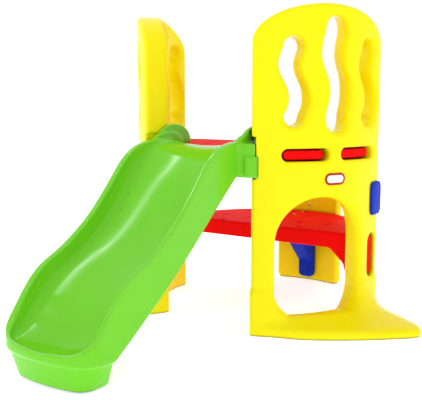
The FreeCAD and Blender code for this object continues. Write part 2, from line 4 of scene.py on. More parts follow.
import bpy
import numpy as np
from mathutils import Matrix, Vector


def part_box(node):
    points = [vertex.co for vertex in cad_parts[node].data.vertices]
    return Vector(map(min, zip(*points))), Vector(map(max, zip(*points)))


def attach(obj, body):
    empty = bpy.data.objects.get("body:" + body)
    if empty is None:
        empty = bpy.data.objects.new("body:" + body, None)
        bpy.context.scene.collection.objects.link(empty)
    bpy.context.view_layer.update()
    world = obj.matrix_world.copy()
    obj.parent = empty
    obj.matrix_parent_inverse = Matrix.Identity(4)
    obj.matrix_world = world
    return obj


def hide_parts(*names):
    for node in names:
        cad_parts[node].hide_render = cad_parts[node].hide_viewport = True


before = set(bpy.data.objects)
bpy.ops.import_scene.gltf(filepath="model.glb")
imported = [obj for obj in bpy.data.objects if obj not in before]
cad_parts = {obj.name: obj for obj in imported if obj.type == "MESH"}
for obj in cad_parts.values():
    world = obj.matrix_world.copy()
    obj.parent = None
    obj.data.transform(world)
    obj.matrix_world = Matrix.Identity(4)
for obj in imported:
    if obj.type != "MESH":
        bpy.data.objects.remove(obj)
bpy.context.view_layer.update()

# Toddler climber with a wavy slide. Every moulded piece is a closed form given by a signed distance
# in millimetres (negative inside), with rounded edges and blended joints, which is then meshed.
# Two frames are used. "Tower": X across, Y back from the tower's centre, Z up.
# "Wall": arc position along the wall's outer face, height, and radius from the wall's arc centre.

MM = 0.001
TOWER_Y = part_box("back_wall")[1].y / MM - 497.0
WALL_TURN = math.radians(-28.5)
WALL_SHIFT = -35.0
WALL_INNER = 460.0
WALL_OUTER = 554.0
WALL_HALF_ARC = math.radians(31.5) * WALL_OUTER
WALL_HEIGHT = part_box("right_wall")[1].z / MM
WALL_ARCH_START = 1080.0
WALL_X = WALL_SHIFT * math.cos(WALL_TURN)
WALL_Y = WALL_SHIFT * math.sin(WALL_TURN)

# A wavy slot is a middle on the arc, a centre line of (arc, height) and a half width.
SHORT_WAVE = [(-1, 816), (13, 842), (20, 872), (17, 902), (4, 935), (-13, 965), (-22, 1005),
              (-16, 1032), (-4, 1062)]
TALL_WAVE = [(0, 802), (3, 832), (15, 870), (18, 905), (12, 945), (-8, 990), (-20, 1026),
             (-19, 1070), (-4, 1130)]
SLOTS = [(-145, SHORT_WAVE, 40), (34, TALL_WAVE, 48), (207, SHORT_WAVE, 40)]
OVAL_MIDDLES = (-97.0, 149.0)
OVAL_Z = 673.0
OVAL_HALF = (97.0, 23.5)
UPRIGHT = (256.0, 265.0)
UPRIGHT_HALF = (35.0, 88.0)
TAB_GAP = 2.5
TAB_RADII = (440.0, 540.0)
TAB_ROUND = 15.0
# The notch in a wall's near edge runs between two heights and is this deep.
NOTCH_LOW = 590.0
NOTCH_HIGH = 741.0
NOTCH_DEPTH = 15.0
HOOK_LOW = 593.0
HOOK_HIGH = 669.0
HOOK_ARM_TOP = 716.0
HOOK_REACH = 30.0
# Hooks and grips close over a wall's edge with this play.
CLIP_INNER = 450.0
CLIP_OUTER = 564.0
CLIP_PLAY = 1.5
DECK_RADIUS = 457.0
BACK_OUTER = 497.0

# The foot's edge as (angle, radius) at floor level, and the share of it left at each height.
FOOT_EDGE = [(-31.5, 557), (-27, 566), (-22, 580), (-16.5, 606), (-9, 640), (-1, 678), (8.5, 738),
             (15.2, 790), (18.8, 812), (21.4, 798), (23.6, 758), (26.8, 691), (29.9, 612), (31.5, 557)]
FOOT_LEVELS = [(-5, 0.99), (0, 1.0), (6, 1.0), (24, 0.99), (34, 0.9), (50, 0.52), (78, 0.2), (130, 0.02),
               (170, 0.0)]

# The slide's side view as (Y, Z): its rails' crest, its bed and its skirt's lower edge.
CREST = [(-395, 717), (-480, 722), (-530, 717), (-600, 697), (-660, 660), (-720, 598),
         (-780, 533), (-850, 466), (-930, 408), (-1010, 362), (-1080, 328), (-1130, 286),
         (-1175, 232), (-1215, 180), (-1255, 142), (-1290, 118)]
BED = [(-380, 699), (-450, 697), (-500, 685), (-560, 648), (-620, 592), (-680, 525),
       (-750, 452), (-820, 392), (-900, 338), (-980, 294), (-1040, 258), (-1100, 206),
       (-1150, 157), (-1200, 123), (-1250, 109), (-1300, 108)]
SKIRT = [(-1146, 93), (-1076, 139), (-937, 236), (-798, 341), (-658, 459), (-493, 595)]
SLIDE_HALF = 204.5
SLIDE_LIP = 1286.0
SLIDE_REAR = -395.0

DRAIN_RADIUS = 12.0
DRAINS = [(192, 2), (132, 116), (260, 135), (248, 306), (84, 292)]
DRAINS_MIDDLE = [(0, 235), (0, 425)]


# ---------------------------------------------------------------- distances

def smooth_max(a, b, blend):
    """What two shapes share, with the edge between them rounded."""
    overlap = np.maximum(blend - np.abs(a - b), 0.0) / blend
    return np.maximum(a, b) + overlap * overlap * blend * 0.25


def smooth_min(a, b, blend):
    """Two shapes together, with a fillet between them."""
    return -smooth_max(-a, -b, blend)


def nearest_of(shapes):
    """Several shapes together, with no fillet."""
    return functools.reduce(np.minimum, shapes)


def spline(points, per_span=6):
    """Points along a smooth curve through the given ones."""
    p = np.array(points, float)
    chord = np.concatenate([[0.0], np.cumsum(np.hypot(*np.diff(p, axis=0).T))])
    n = len(p)
    h = np.diff(chord)
    system = np.eye(n)
    right = np.zeros((n, 2))
    for i in range(1, n - 1):
        system[i, i - 1:i + 2] = (h[i - 1], 2 * (h[i - 1] + h[i]), h[i])
        right[i] = 6 * ((p[i + 1] - p[i]) / h[i] - (p[i] - p[i - 1]) / h[i - 1])
    bend = np.linalg.solve(system, right)
    out = []
    for i in range(n - 1):
        for t in np.arange(per_span) / per_span * h[i]:
            rest = h[i] - t
            cubic = (bend[i] * rest ** 3 + bend[i + 1] * t ** 3) / (6 * h[i])
            from_start = (p[i] / h[i] - bend[i] * h[i] / 6) * rest
            from_end = (p[i + 1] / h[i] - bend[i + 1] * h[i] / 6) * t
            out.append(cubic + from_start + from_end)
    out.append(p[-1])
    return [(float(a), float(b)) for a, b in out]


def arc(middle, half, start, end, count=12):
    """Points along an ellipse from one angle to another, in degrees."""
    angles = np.radians(np.linspace(start, end, count))
    return [(middle[0] + half[0] * math.cos(a), middle[1] + half[1] * math.sin(a)) for a in angles]


def inside_polygon(points, u, v):
    """Signed distance to a closed outline."""
    u, v = np.broadcast_arrays(u, v)
    nearest = np.full(u.shape, 1e12)
    inside = np.zeros(u.shape, bool)
    for (u0, v0), (u1, v1) in zip(points, points[1:] + points[:1]):
        eu = u1 - u0
        ev = v1 - v0
        length = eu * eu + ev * ev
        if length < 1e-9:
            continue
        along = np.clip(((u - u0) * eu + (v - v0) * ev) / length, 0.0, 1.0)
        nearest = np.minimum(nearest, (u - u0 - along * eu) ** 2 + (v - v0 - along * ev) ** 2)
        if ev:
            inside ^= ((v0 > v) != (v1 > v)) & (u < u0 + (v - v0) * eu / ev)
    return np.where(inside, -1.0, 1.0) * np.sqrt(nearest)


def inside_stadium(middle, half, u, v):
    """Signed distance to a rectangle whose shorter sides are half circles."""
    reach = np.array(half) - min(half)
    du = np.maximum(np.abs(u - middle[0]) - reach[0], 0.0)
    dv = np.maximum(np.abs(v - middle[1]) - reach[1], 0.0)
    return np.hypot(du, dv) - min(half)


def between(low, high, value):
    return np.maximum(low - value, value - high)


def wall_coordinates(x, y, hand):
    """Arc position and radius, about one wall's arc centre, of a point in the tower frame."""
    dx = hand * x - WALL_X
    dy = y - WALL_Y
    angle = np.arctan2(dy, dx) - WALL_TURN
    return angle * WALL_OUTER, np.hypot(dx, dy)


# ---------------------------------------------------------------- meshing

CORNERS = [(i, j, k) for i in (0, 1) for j in (0, 1) for k in (0, 1)]
EDGES = [(a, b) for a in range(8) for b in range(a + 1, 8)
         if sum(abs(p - q) for p, q in zip(CORNERS[a], CORNERS[b])) == 1]


def net(values):
    """Surface net through the zero level of a 3-D grid: vertices in grid steps, and quads."""
    cells = tuple(n - 1 for n in values.shape)
    inside = values < 0
    total = np.zeros(cells, np.int8)
    for i, j, k in CORNERS:
        total += inside[i:i + cells[0], j:j + cells[1], k:k + cells[2]]
    active = np.nonzero((total > 0) & (total < 8))
    number = np.full(cells, -1, np.int64)
    number[active] = np.arange(len(active[0]))
    corner = [values[active[0] + i, active[1] + j, active[2] + k] for i, j, k in CORNERS]
    where = np.zeros((len(active[0]), 3))
    hits = np.zeros(len(active[0]))
    for a, b in EDGES:
        crossed = (corner[a] < 0) != (corner[b] < 0)
        gap = np.where(crossed, corner[a] - corner[b], 1.0)
        share = np.where(crossed, corner[a] / gap, 0.0)
        start = np.array(CORNERS[a], float)
        step = np.array(CORNERS[b], float) - start
        where += np.where(crossed[:, None], start + share[:, None] * step, 0.0)
        hits += crossed
    vertices = where / hits[:, None] + np.stack(active, 1)
    quads = []
    for axis in range(3):
        u, v = [a for a in range(3) if a != axis]
        first = [slice(None)] * 3
        second = [slice(None)] * 3
        first[axis] = slice(0, -1)
        second[axis] = slice(1, None)
        changed = inside[tuple(first)] != inside[tuple(second)]
        spot = np.stack(np.nonzero(changed), 1)
        spot = spot[(spot[:, u] > 0) & (spot[:, v] > 0)
                    & (spot[:, u] < cells[u]) & (spot[:, v] < cells[v])]
        ring = []
        for du, dv in ((1, 1), (0, 1), (0, 0), (1, 0)):
            cell = spot.copy()
            cell[:, u] -= du
            cell[:, v] -= dv
            ring.append(number[cell[:, 0], cell[:, 1], cell[:, 2]])
        quad = np.stack(ring, 1)
        outward = inside[spot[:, 0], spot[:, 1], spot[:, 2]]
        if axis == 1:
            outward = ~outward
        quad[~outward] = quad[~outward][:, ::-1]
        quads.append(quad)
    return vertices, np.concatenate(quads)


def settle(points, field, step):
    """Moves the vertices onto the exact zero level, by half a step at most."""
    nudge = 0.05 * step
    least = 0.2
    value = field(*points.T)
    slope = np.stack([(field(*(points + nudge * np.eye(3)[a]).T) - value) / nudge for a in range(3)], 1)
    size = np.maximum((slope ** 2).sum(1), least)
    move = -(value / size)[:, None] * slope
    return points + np.clip(move, -0.5 * step, 0.5 * step)


def mould(name, field, low, high, step, place):
    """Meshes a distance field between two corners of its own frame and puts it in the world."""
    axes = [np.arange(a - 1.5 * step, b + 2.5 * step, step) for a, b in zip(low, high)]
    grid = np.meshgrid(*axes, indexing="ij", sparse=True)
    values = np.broadcast_to(field(*grid), [len(a) for a in axes])
    vertices, quads = net(values)
    points = np.array([a[0] for a in axes]) + vertices * step
    points = settle(points, field, step)
    world = np.stack(place(*points.T), 1) * MM
    a, b, c = world[quads[:, 0]], world[quads[:, 1]], world[quads[:, 2]]
    if (np.cross(b, c) * a).sum() < 0:
        quads = quads[:, ::-1]
    return mesh_object(name, world, quads)


def mesh_object(name, world, quads):
    mesh = bpy.data.meshes.new(name)
    mesh.vertices.add(len(world))
    mesh.vertices.foreach_set("co", world.astype(np.float32).ravel())
    mesh.loops.add(quads.size)
    mesh.loops.foreach_set("vertex_index", quads.astype(np.int32).ravel())
    mesh.polygons.add(len(quads))
    mesh.polygons.foreach_set("loop_start", np.arange(0, quads.size, 4, dtype=np.int32))
    mesh.polygons.foreach_set("use_smooth", np.ones(len(quads), bool))
    mesh.update(calc_edges=True)
    piece = bpy.data.objects.new(name, mesh)
    bpy.context.scene.collection.objects.link(piece)
    return piece


def mesh_arrays(piece):
    """The vertices and quads of a piece."""
    world = np.zeros(len(piece.data.vertices) * 3, np.float32)
    piece.data.vertices.foreach_get("co", world)
    corners = np.zeros(len(piece.data.loops), np.int32)
    piece.data.loops.foreach_get("vertex_index", corners)
    return world.reshape(-1, 3), corners.reshape(-1, 4)


def mirrored(name, piece):
    """A left-hand copy of a right-hand piece."""
    world, quads = mesh_arrays(piece)
    return mesh_object(name, world * (-1, 1, 1), quads[:, ::-1])


def in_tower(x, y, z):
    return x, y + TOWER_Y, z


def in_wall(s, z, r):
    angle = WALL_TURN + s / WALL_OUTER
    return WALL_X + r * np.cos(angle), WALL_Y + TOWER_Y + r * np.sin(angle), z


def in_back_wall(s, z, r):
    angle = math.radians(90.0) + s / BACK_OUTER
    return r * np.cos(angle), TOWER_Y + r * np.sin(angle), z


# ---------------------------------------------------------------- tall walls

WALL_ROUND = 17.0
WALL_OUTLINE_FOOT = -60.0
SLOT_ROUND = 26.0
SLOT_FLARES = (-6.0, 20.0, 10.0)
CRAWL_ROUND = 26.0
CRAWL_FLARE = 30.0
FLARE_START = WALL_OUTER - 30.0
OVAL_ROUND = 12.0
UPRIGHT_ROUND = 9.0
NOTCH_ROUND = 8.0
SOLE_ROUND = 6.0
FOOT_BLEND = 16.0
FOOT_TOP = 165.0
FOOT_OUTMOST = 822.0


def wave_outline(middle, wave, half):
    """A wavy slot: its centre line widened to both sides, with round ends."""
    centre = [(middle + s, z) for s, z in spline(wave, 4)]
    left = [(s - half, z) for s, z in centre]
    right = [(s + half, z) for s, z in centre]
    top = arc(centre[-1], (half, half), 0, 180)[1:-1]
    bottom = arc(centre[0], (half, half), 180, 360)[1:-1]
    return right + top + left[::-1] + bottom


def wall_outline():
    roof = arc((0.0, WALL_ARCH_START), (WALL_HALF_ARC, WALL_HEIGHT - WALL_ARCH_START), 0, 180, 48)
    return [(-WALL_HALF_ARC, WALL_OUTLINE_FOOT), (WALL_HALF_ARC, WALL_OUTLINE_FOOT)] + roof


def crawl_outline():
    """The arch a child crawls through: a sill, rounded corners, sides and a half-oval top."""
    middle = -26.0
    half = 188.0
    sill = 72.0
    spring = 345.0
    top = 513.0
    corner = 56.0
    roof = arc((middle, spring), (half, top - spring), 0, 180, 40)
    cut = [(half - corner, sill), (half - corner * 0.4, sill + corner * 0.55),
           (half, sill + corner * 1.3)]
    low_right = spline([(middle + s, z) for s, z in cut], 6)
    low_left = spline([(middle - s, z) for s, z in cut[::-1]], 6)
    return low_right + roof + low_left


WALL_OUTLINE = wall_outline()
CRAWL_OUTLINE = crawl_outline()
SLOT_OUTLINES = [wave_outline(*slot) for slot in SLOTS]
FOOT_CURVE = spline([(math.radians(a) * WALL_OUTER, r) for a, r in FOOT_EDGE], 8)
FOOT_SHARE = spline(FOOT_LEVELS, 8)


def foot_reach(s):
    arcs, radii = zip(*FOOT_CURVE)
    return np.interp(s, arcs, radii) - WALL_OUTER


def foot_share(z):
    levels, shares = zip(*FOOT_SHARE)
    return np.interp(z, levels, shares)


def inside_foot(s, z, r):
    """Outrigger foot: its outreach fades with height in a concave sweep."""
    reach = foot_reach(s)
    share = foot_share(z)
    surface = r - WALL_OUTER - reach * share
    slope_s = (foot_reach(s + 1.0) - reach) * share
    slope_z = (foot_share(z + 1.0) - share) * reach
    face = surface / np.sqrt(1.0 + slope_s ** 2 + slope_z ** 2)
    ends = np.abs(s) - WALL_HALF_ARC
    body = smooth_max(smooth_max(face, ends, 14.0), WALL_INNER + 20.0 - r, 8.0)
    return smooth_max(body, z - FOOT_TOP, 10.0)


def wall_field(s, z, r):
    """Curved slab with a foot, less its openings, which change width towards the inner face."""
    slab = smooth_max(inside_polygon(WALL_OUTLINE, s, z), between(WALL_INNER, WALL_OUTER, r), WALL_ROUND)
    slab = smooth_min(slab, inside_foot(s, z, r), FOOT_BLEND)
    towards_inside = np.clip((FLARE_START - r) / (FLARE_START - WALL_INNER), 0.0, 1.0)
    openings = [(outline, flare, SLOT_ROUND) for outline, flare in zip(SLOT_OUTLINES, SLOT_FLARES)]
    for outline, flare, rounding in openings + [(CRAWL_OUTLINE, CRAWL_FLARE, CRAWL_ROUND)]:
        slab = smooth_max(slab, -inside_polygon(outline, s, z) + flare * towards_inside, rounding)
    for middle in OVAL_MIDDLES:
        slab = smooth_max(slab, -inside_stadium((middle, OVAL_Z), OVAL_HALF, s, z), OVAL_ROUND)
    slab = smooth_max(slab, -inside_stadium(UPRIGHT, UPRIGHT_HALF, s, z), UPRIGHT_ROUND)
    notch = np.maximum(s + WALL_HALF_ARC - NOTCH_DEPTH, between(NOTCH_LOW, NOTCH_HIGH, z))
    slab = smooth_max(slab, -notch, NOTCH_ROUND)
    return smooth_max(slab, -z, SOLE_ROUND)


def tall_walls():
    low = (-WALL_HALF_ARC, 0.0, WALL_INNER)
    high = (WALL_HALF_ARC, WALL_HEIGHT, FOOT_OUTMOST)
    right = mould("right_wall_shell", wall_field, low, high, step=5.0, place=in_wall)
    left = mirrored("left_wall_shell", right)
    finish(right, YELLOW, "right_wall")
    finish(left, YELLOW, "left_wall")


# ---------------------------------------------------------------- low back wall

BACK_INNER = 457.0
BACK_HALF_ARC = math.radians(20.0) * BACK_OUTER
BACK_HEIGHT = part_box("back_wall")[1].z / MM
BACK_ARCH_START = 540.0
BACK_SCREW_Z = 371.0
BACK_ROUND = 15.0
BACK_CORNER = 26.0


def back_outline():
    roof = arc((0.0, BACK_ARCH_START), (BACK_HALF_ARC, BACK_HEIGHT - BACK_ARCH_START), 0, 180, 40)
    round_corner = (BACK_CORNER, BACK_CORNER)
    low_right = arc((BACK_HALF_ARC - BACK_CORNER, BACK_CORNER), round_corner, 270, 360, 8)
    low_left = arc((-BACK_HALF_ARC + BACK_CORNER, BACK_CORNER), round_corner, 180, 270, 8)
    return low_right + roof + low_left


BACK_OUTLINE = back_outline()


def back_field(s, z, r):
    """Curved slab with a short upright groove over its screw."""
    slab = smooth_max(inside_polygon(BACK_OUTLINE, s, z), between(BACK_INNER, BACK_OUTER, r), BACK_ROUND)
    groove = np.hypot(s, (r - BACK_INNER) * 1.6) - 6.0
    groove = smooth_max(groove, between(BACK_SCREW_Z + 12.0, BACK_SCREW_Z + 150.0, z), 6.0)
    return smooth_max(slab, -groove, 4.0)


def low_back_wall():
    piece = mould("back_wall_shell", back_field, (-BACK_HALF_ARC, 0.0, BACK_INNER),
                  (BACK_HALF_ARC, BACK_HEIGHT, BACK_OUTER), step=4.0, place=in_back_wall)
    finish(piece, YELLOW, "back_wall")


# ---------------------------------------------------------------- decks

DECK_SKIN = 7.0
DECK_CORNER = 8.0
RIB_HALF = 3.0
TAB_FILLET = 5.0


def inside_lens(x, y):
    """Plan of the space between the two tall walls."""
    right = wall_coordinates(x, y, 1)[1] - DECK_RADIUS
    left = wall_coordinates(x, y, -1)[1] - DECK_RADIUS
    return np.maximum(right, left)


def inside_tabs(x, y, z, middles, half):
    """Tabs that stand in the walls' openings, on both sides."""
    tabs = []
    for hand in (1, -1):
        s, r = wall_coordinates(x, y, hand)
        ring = between(*TAB_RADII, r)
        tabs += [smooth_max(inside_stadium(middle, half, s, z), ring, TAB_ROUND) for middle in middles]
    return nearest_of(tabs)


def tray(plan, z, top, depth, edge):
    """A plate with a skirt all round, open below."""
    body = smooth_max(smooth_max(plan, z - top, edge), top - depth - z, 3.0)
    hollow = np.maximum(plan + DECK_SKIN, z - top + DECK_SKIN)
    return smooth_max(body, -hollow, 2.0)


def ribs(places, x, z, plan, low, high):
    """Upright ribs across the hollow of a tray."""
    tall = between(low, high, z)
    return nearest_of(np.maximum(np.maximum(np.abs(x - place) - RIB_HALF, tall), plan + 2.0)
                      for place in places)


UPPER_TOP = 700.0
UPPER_DEPTH = 50.0
UPPER_FRONT = -391.0
UPPER_GROOVES = (-330.0, -240.0, -150.0, -60.0)
GROOVE_HALF = 5.0
GROOVE_DEPTH = 4.0
LOWER_TOP = 343.0
LOWER_DEPTH = 66.0
LOWER_FRONT = -30.0
LOWER_REAR = 454.0
# Gussets slope down and out below each front corner of the lower deck.
GUSSET_X = 350.0
GUSSET_Z = 276.0
GUSSET_TOP = 330.0
GUSSET_DEPTH = 56.0
# A drain is a cup in the deck with a small hole through its floor.
CUP_WALL = 4.0
CUP_FLOOR = 30.0
WEEP_RADIUS = 5.0


def upper_field(x, y, z):
    """Grooved tray with oval tabs, which are shorter than their openings at the rear end."""
    plan = smooth_max(inside_lens(x, y), between(UPPER_FRONT, 0.0, y), DECK_CORNER)
    deck = tray(plan, z, UPPER_TOP, UPPER_DEPTH, edge=10.0)
    deck = np.minimum(deck, ribs((-220, 0, 220), x, z, plan, UPPER_TOP - 38.0, UPPER_TOP - 3.0))
    for place in UPPER_GROOVES:
        groove = np.maximum(np.abs(y - place) - GROOVE_HALF, UPPER_TOP - GROOVE_DEPTH - z)
        deck = smooth_max(deck, -groove, 3.0)
    half = (OVAL_HALF[0] - 10.0, OVAL_HALF[1] - TAB_GAP)
    tabs = inside_tabs(x, y, z, [(m - 8.0, OVAL_Z) for m in OVAL_MIDDLES], half)
    return smooth_min(deck, tabs, TAB_FILLET)


def lower_field(x, y, z):
    """Tray with upright tabs, two gussets and drains."""
    plan = smooth_max(inside_lens(x, y), LOWER_FRONT - y, DECK_CORNER)
    plan = smooth_max(plan, np.hypot(x, y) - LOWER_REAR, DECK_CORNER)
    deck = tray(plan, z, LOWER_TOP, LOWER_DEPTH, edge=12.0)
    deck = np.minimum(deck, ribs((-180, -60, 60, 180), x, z, plan, LOWER_TOP - 52.0, LOWER_TOP - 3.0))
    tabs = inside_tabs(x, y, z, [UPRIGHT], [half - TAB_GAP for half in UPRIGHT_HALF])
    slope = (GUSSET_Z - z) * 0.72 - (np.abs(x) - GUSSET_X) * 0.69
    gusset = smooth_max(slope, between(LOWER_FRONT, LOWER_FRONT + GUSSET_DEPTH, y), 6.0)
    gusset = smooth_max(smooth_max(gusset, inside_lens(x, y), 6.0), z - GUSSET_TOP, 4.0)
    gusset = np.maximum(gusset, GUSSET_X - np.abs(x))
    deck = smooth_min(smooth_min(deck, tabs, TAB_FILLET), gusset, 8.0)
    for spot in DRAINS_MIDDLE + DRAINS + [(-a, b) for a, b in DRAINS]:
        away = np.hypot(x - spot[0], y - spot[1])
        walls = between(LOWER_TOP - CUP_FLOOR - CUP_WALL, LOWER_TOP - CUP_WALL, z)
        deck = np.minimum(deck, np.maximum(away - DRAIN_RADIUS - CUP_WALL, walls))
        deck = smooth_max(deck, -np.maximum(away - DRAIN_RADIUS, LOWER_TOP - CUP_FLOOR - z), 3.0)
        weep = np.maximum(away - WEEP_RADIUS, between(LOWER_TOP - 40.0, LOWER_TOP - 20.0, z))
        deck = np.maximum(deck, -weep)
    return deck


def decks():
    reach = 560.0
    upper = mould("upper_deck_tray", upper_field, (-reach, UPPER_FRONT, UPPER_TOP - UPPER_DEPTH),
                  (reach, 210.0, UPPER_TOP), step=4.0, place=in_tower)
    finish(upper, RED, "upper_deck")
    lower = mould("lower_deck_tray", lower_field, (-reach, LOWER_FRONT - 80.0, 175.0),
                  (reach, LOWER_REAR, 356.0), step=4.0, place=in_tower)
    finish(lower, RED, "lower_deck")


# ---------------------------------------------------------------- slide

def side_outline(bottom):
    """Side view of the slide down to its skirt, or with a far lower edge for the hollow."""
    crest = spline(CREST, 5)
    if bottom:
        return crest + [(-1300.0, 93.0)] + spline(SKIRT, 4) + [(-395.0, 594.0)]
    return crest + [(-1300.0, -400.0), (-395.0, -400.0)]


def plan_outline(half, lip, bow, corner):
    """Plan of the slide from above, with a bowed lip and round corners at its front."""
    front = [(half, -lip + corner + bow), (half * 0.985, -lip + corner * 0.55 + bow * 0.6),
             (half * 0.86, -lip + bow), (half * 0.5, -lip + bow * 0.3), (0, -lip)]
    curve = spline(front + [(-x, y) for x, y in front[-2::-1]], 5)
    return curve + [(-half, 0.0), (half, 0.0)]


SIDE = side_outline(True)
SIDE_OPEN = side_outline(False)
ABOVE_BED = spline(BED, 5) + [(-1400.0, 108.0), (-1400.0, 1100.0), (-300.0, 1100.0), (-300.0, 699.0)]
SLIDE_PLAN = plan_outline(SLIDE_HALF, SLIDE_LIP, 34.0, 80.0)
CHANNEL_PLAN = plan_outline(SLIDE_HALF - 22.0, SLIDE_LIP - 7.0, 26.0, 70.0)
SLIDE_SKIN = 8.0
CREST_ROUND = 7.0
RAIL_FOOT = 50.0
RAIL_LEAN = 28.0
RAIL_RISE = 85.0
BED_SAG = 15.0
BED_HALF = 150.0


def rail_inset(y, z):
    """How far a rail's inner face leans in from the side at a height above the bed."""
    along, level = zip(*sorted(spline(BED, 5)))
    above = z - np.interp(y, along, level)
    return RAIL_FOOT - RAIL_LEAN * np.clip(above / RAIL_RISE, 0.0, 1.0)


def slide_form(side, x, y, z):
    """Rails and bed within a side view: a block less the channel a child slides in."""
    body = smooth_max(side, np.abs(x) - SLIDE_HALF, CREST_ROUND)
    body = smooth_max(body, inside_polygon(SLIDE_PLAN, x, y), CREST_ROUND)
    above_bed = inside_polygon(ABOVE_BED, y, z) + BED_SAG * np.minimum(np.abs(x) / BED_HALF, 1.0) ** 2
    channel = smooth_max(above_bed, np.abs(x) - SLIDE_HALF + rail_inset(y, z), 22.0)
    channel = smooth_max(channel, inside_polygon(CHANNEL_PLAN, x, y), 20.0)
    body = smooth_max(body, -channel, CREST_ROUND)
    return smooth_max(body, y - SLIDE_REAR, 4.0)


def inside_foot_block(x, y, z):
    """Tapered block under the lip, with a bowed front."""
    levels = (0.0, 10.0, 98.0)
    half = np.interp(z, levels, (150.0, 159.0, 201.0))
    front = np.interp(z, levels, (1250.0, 1259.0, 1283.0))
    rear = np.interp(z, levels, (1126.0, 1127.0, 1146.0))
    bow = np.interp(z, levels, (20.0, 22.0, 36.0)) * (x / half) ** 2
    block = smooth_max(np.abs(x) - half, -y - front + bow, np.interp(z, levels, (46.0, 50.0, 75.0)))
    block = smooth_max(block, y + rear, 24.0)
    return smooth_max(smooth_max(block, -z, 14.0), z - 112.0, 6.0)


def inside_ears(x, y, z):
    """Half discs beside the top of the slide, each with a thicker, lower step on its slide side."""
    radius = np.hypot((y + 352.0) / 110.0, (z - 702.0) / 76.0)
    ear = smooth_max((radius - 1.0) * 76.0, between(SLIDE_HALF - 16.5, SLIDE_HALF, np.abs(x)), 7.0)
    radius = np.hypot((y + 398.0) / 96.0, (z - 698.0) / 52.0)
    step = smooth_max((radius - 1.0) * 52.0, between(SLIDE_HALF - 24.0, SLIDE_HALF, np.abs(x)), 7.0)
    return smooth_max(np.minimum(ear, step), 694.0 - z, 4.0)


def wall_in_clip(r):
    """The wall's thickness and the play on both sides of it."""
    return between(WALL_INNER - CLIP_PLAY, WALL_OUTER + CLIP_PLAY, r)


def inside_hooks(x, y, z):
    """Clips that close over the walls' near edges, with the arms that carry them."""
    hooks = []
    edge = -WALL_HALF_ARC + NOTCH_DEPTH
    for hand in (1, -1):
        s, r = wall_coordinates(x, y, hand)
        clip = smooth_max(between(CLIP_INNER, CLIP_OUTER, r), between(edge - 40.0, edge + HOOK_REACH, s), 5.0)
        clip = smooth_max(clip, between(HOOK_LOW, HOOK_HIGH, z), 5.0)
        arm = smooth_max(between(CLIP_INNER, CLIP_OUTER - 8.0, r), between(edge - 60.0, edge + 2.0, s), 8.0)
        arm = smooth_max(arm, between(HOOK_LOW, HOOK_ARM_TOP, z), 14.0)
        throat = np.maximum(wall_in_clip(r), edge - CLIP_PLAY - s)
        hooks.append(smooth_max(smooth_min(clip, arm, 8.0), -throat, 3.0))
    return nearest_of(hooks)


def slide_field(x, y, z):
    """An even skin, open below, with a foot block, ears and hooks."""
    body = slide_form(inside_polygon(SIDE, y, z), x, y, z)
    hollow = slide_form(inside_polygon(SIDE_OPEN, y, z), x, y, z) + SLIDE_SKIN
    body = smooth_max(body, -hollow, 3.0)
    body = smooth_min(body, inside_foot_block(x, y, z), 10.0)
    body = smooth_min(body, inside_ears(x, y, z), 7.0)
    return smooth_min(body, inside_hooks(x, y, z), 14.0)


def slide():
    low = (-262.0, -1290.0, 0.0)
    high = (262.0, -240.0, 780.0)
    piece = mould("slide_shell", slide_field, low, high, step=5.0, place=in_tower)
    finish(piece, GREEN, "slide")


# ---------------------------------------------------------------- blue parts

BRACKET = [(456, 40), (456, 273), (440, 273), (440, 337), (270, 337), (270, 258), (425, 103), (425, 40)]
BRACKET_HALF = 37.5
BRACKET_CORNER = 26.0
GRIP_LOW = 423.0
GRIP_HIGH = 558.0
GRIP_ROUND = 26.0


def bracket_field(x, y, z):
    """Corbel with a round-cornered foot, hollowed to the back wall's curve."""
    foot = arc((440.5, 40.0), (15.5, 20.0), 180, 360, 9)
    outline = [(float(a), float(b)) for a, b in BRACKET] + foot[1:-1]
    side = inside_polygon(outline, y, z)
    body = smooth_max(side, np.abs(x) - BRACKET_HALF, 8.0)
    level = 46.0
    beside = np.maximum(np.abs(x) - (BRACKET_HALF - BRACKET_CORNER), 0.0)
    corner = np.hypot(beside, np.minimum(z - level, 0.0)) - BRACKET_CORNER
    body = smooth_max(body, np.where(z < level, corner, -20.0), 4.0)
    return smooth_max(body, np.hypot(x, y) - BACK_INNER + 0.3, 3.0)


def grip_field(s, z, r):
    """Cushion-shaped block that wraps a wall's rear edge."""
    edge = WALL_HALF_ARC
    block = smooth_max(between(GRIP_LOW, GRIP_HIGH, z), between(edge - 80.0, edge + 12.0, s), GRIP_ROUND)
    block = smooth_max(block, between(CLIP_INNER, CLIP_OUTER, r), 12.0)
    throat = np.maximum(wall_in_clip(r), s - edge - CLIP_PLAY)
    return smooth_max(block, -throat, 3.0)


def blue_parts():
    low = (-38.0, 268.0, 18.0)
    high = (38.0, 458.0, 338.0)
    bracket = mould("back_bracket_block", bracket_field, low, high, step=2.5, place=in_tower)
    finish(bracket, BLUE, "back_bracket")
    low = (WALL_HALF_ARC - 82.0, GRIP_LOW - 2.0, CLIP_INNER - 2.0)
    high = (WALL_HALF_ARC + 14.0, GRIP_HIGH + 2.0, CLIP_OUTER + 2.0)
    right = mould("right_grip_clip", grip_field, low, high, step=2.5, place=in_wall)
    left = mirrored("left_grip_clip", right)
    finish(right, BLUE, "right_edge_grip")
    finish(left, BLUE, "left_edge_grip")


# ---------------------------------------------------------------- badge

BADGE = (22.0, 582.0)
BADGE_HALF = (46.0, 22.5)
BADGE_RIM = 8.0
BADGE_THICKNESS = 2.5


